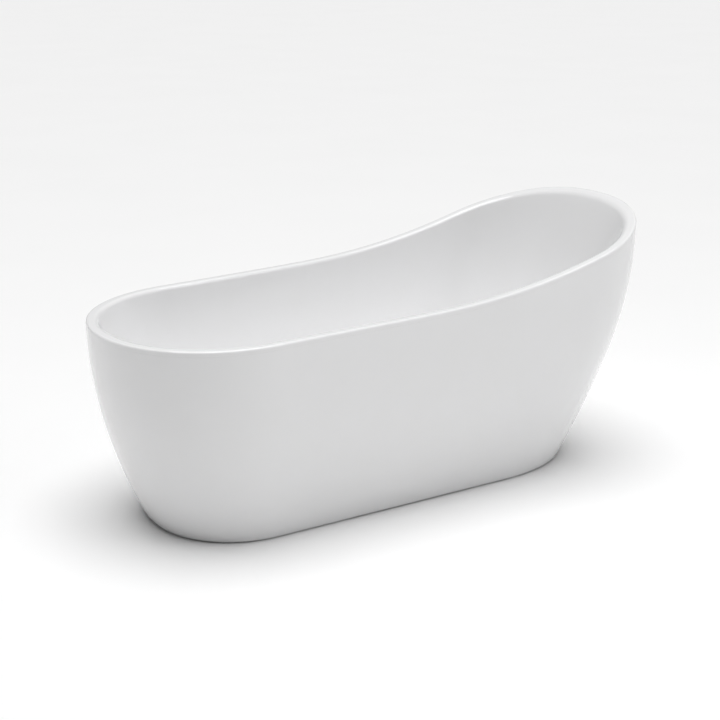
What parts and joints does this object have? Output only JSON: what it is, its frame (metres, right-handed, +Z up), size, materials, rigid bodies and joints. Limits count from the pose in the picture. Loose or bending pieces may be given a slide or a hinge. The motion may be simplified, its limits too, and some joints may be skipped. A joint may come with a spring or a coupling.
{
  "type": "freestanding bathtub",
  "caption": "Double-walled oval slipper bath with one raised end, a flat rolled rim, a hidden steel underframe on levelling feet, a push-button drain and an overflow.",
  "frame": {"origin": "on the floor, under the middle of the bath's length and width", "axes": "+Z up, +X towards the raised end, +Y across the bath; the drain and overflow are at the low end, -X"},
  "size_m": [1.7, 0.7526, 0.7816],
  "materials": {
    "acrylic": "white high-gloss cast acrylic",
    "bond": "polyurethane bonding bead",
    "board": "resin-sealed plywood",
    "timber": "sawn softwood block",
    "frame_steel": "zinc-plated square steel tube",
    "zinc": "zinc-plated steel fixings",
    "nylon": "black glass-filled nylon",
    "rubber": "black rubber",
    "chrome": "polished chrome plate",
    "brass": "machined brass",
    "abs": "white moulded ABS",
    "hose": "corrugated polypropylene",
    "spring": "stainless spring wire"
  },
  "bodies": {
    "bath": {"basin": "acrylic", "apron": "acrylic", "rim_bond": "bond", "base_board": "board", "apron_block_1": "timber", "apron_block_2": "timber", "apron_block_3": "timber", "apron_block_4": "timber", "frame_rail_left": "frame_steel", "frame_rail_right": "frame_steel", "cross_rail_low_end": "frame_steel", "cross_rail_middle": "frame_steel", "cross_rail_raised_end": "frame_steel", "weld_nuts": "zinc", "lock_nuts": "zinc", "board_screws": "zinc", "bracket_screws": "zinc", "apron_bracket_1": "zinc", "apron_bracket_2": "zinc", "apron_bracket_3": "zinc", "apron_bracket_4": "zinc", "hose_clamp_low": "zinc", "hose_clamp_high": "zinc", "drain_gasket_upper": "rubber", "drain_gasket_lower": "rubber", "tailpiece_washer": "rubber", "overflow_gasket_inner": "rubber", "overflow_gasket_outer": "rubber", "drain_flange": "chrome", "overflow_cover": "chrome", "overflow_screw": "chrome", "plug_barrel": "brass", "overflow_flange": "brass", "drain_friction_washer": "abs", "drain_nut": "abs", "drain_tee": "abs", "tailpiece": "abs", "tailpiece_nut": "abs", "overflow_elbow": "abs", "overflow_hose": "hose", "plug_spring": "spring"},
    "plug": {"plug_cap": "chrome", "plug_stem": "brass", "plug_seal": "rubber"},
    "foot_1": {"foot_pad_1": "nylon", "foot_sole_1": "rubber"},
    "foot_1_stud": {"foot_stud_1": "zinc"},
    "foot_2": {"foot_pad_2": "nylon", "foot_sole_2": "rubber"},
    "foot_2_stud": {"foot_stud_2": "zinc"},
    "foot_3": {"foot_pad_3": "nylon", "foot_sole_3": "rubber"},
    "foot_3_stud": {"foot_stud_3": "zinc"},
    "foot_4": {"foot_pad_4": "nylon", "foot_sole_4": "rubber"},
    "foot_4_stud": {"foot_stud_4": "zinc"},
    "foot_5": {"foot_pad_5": "nylon", "foot_sole_5": "rubber"},
    "foot_5_stud": {"foot_stud_5": "zinc"}
  },
  "joints": [
    {"name": "plug_press", "type": "slide", "parent": "bath", "child": "plug", "axis": [0, 0, 1], "range_m": [-0.01, 0], "stiffness_N_per_m": 400, "springref_m": 0.006, "deforming": ["plug_spring"]},
    {"name": "foot_1_lift", "type": "slide", "parent": "bath", "child": "foot_1", "axis": [0, 0, -1], "range_m": [0, 0.02]},
    {"name": "foot_1_turn", "type": "hinge", "parent": "foot_1", "child": "foot_1_stud", "pos_m": [-0.37, -0.165, 0.06], "axis": [0, 0, -1], "range_deg": [0, 4114.3]},
    {"name": "foot_2_lift", "type": "slide", "parent": "bath", "child": "foot_2", "axis": [0, 0, -1], "range_m": [0, 0.02]},
    {"name": "foot_2_turn", "type": "hinge", "parent": "foot_2", "child": "foot_2_stud", "pos_m": [-0.37, 0.165, 0.06], "axis": [0, 0, -1], "range_deg": [0, 4114.3]},
    {"name": "foot_3_lift", "type": "slide", "parent": "bath", "child": "foot_3", "axis": [0, 0, -1], "range_m": [0, 0.02]},
    {"name": "foot_3_turn", "type": "hinge", "parent": "foot_3", "child": "foot_3_stud", "pos_m": [0.4, -0.165, 0.06], "axis": [0, 0, -1], "range_deg": [0, 4114.3]},
    {"name": "foot_4_lift", "type": "slide", "parent": "bath", "child": "foot_4", "axis": [0, 0, -1], "range_m": [0, 0.02]},
    {"name": "foot_4_turn", "type": "hinge", "parent": "foot_4", "child": "foot_4_stud", "pos_m": [0.4, 0.165, 0.06], "axis": [0, 0, -1], "range_deg": [0, 4114.3]},
    {"name": "foot_5_lift", "type": "slide", "parent": "bath", "child": "foot_5", "axis": [0, 0, -1], "range_m": [0, 0.02]},
    {"name": "foot_5_turn", "type": "hinge", "parent": "foot_5", "child": "foot_5_stud", "pos_m": [0, 0, 0.06], "axis": [0, 0, -1], "range_deg": [0, 4114.3]}
  ],
  "couplings": [
    {"joint": "foot_1_turn", "follows": "foot_1_lift", "rad_per_m": 3590.4},
    {"joint": "foot_2_turn", "follows": "foot_2_lift", "rad_per_m": 3590.4},
    {"joint": "foot_3_turn", "follows": "foot_3_lift", "rad_per_m": 3590.4},
    {"joint": "foot_4_turn", "follows": "foot_4_lift", "rad_per_m": 3590.4},
    {"joint": "foot_5_turn", "follows": "foot_5_lift", "rad_per_m": 3590.4}
  ]
}
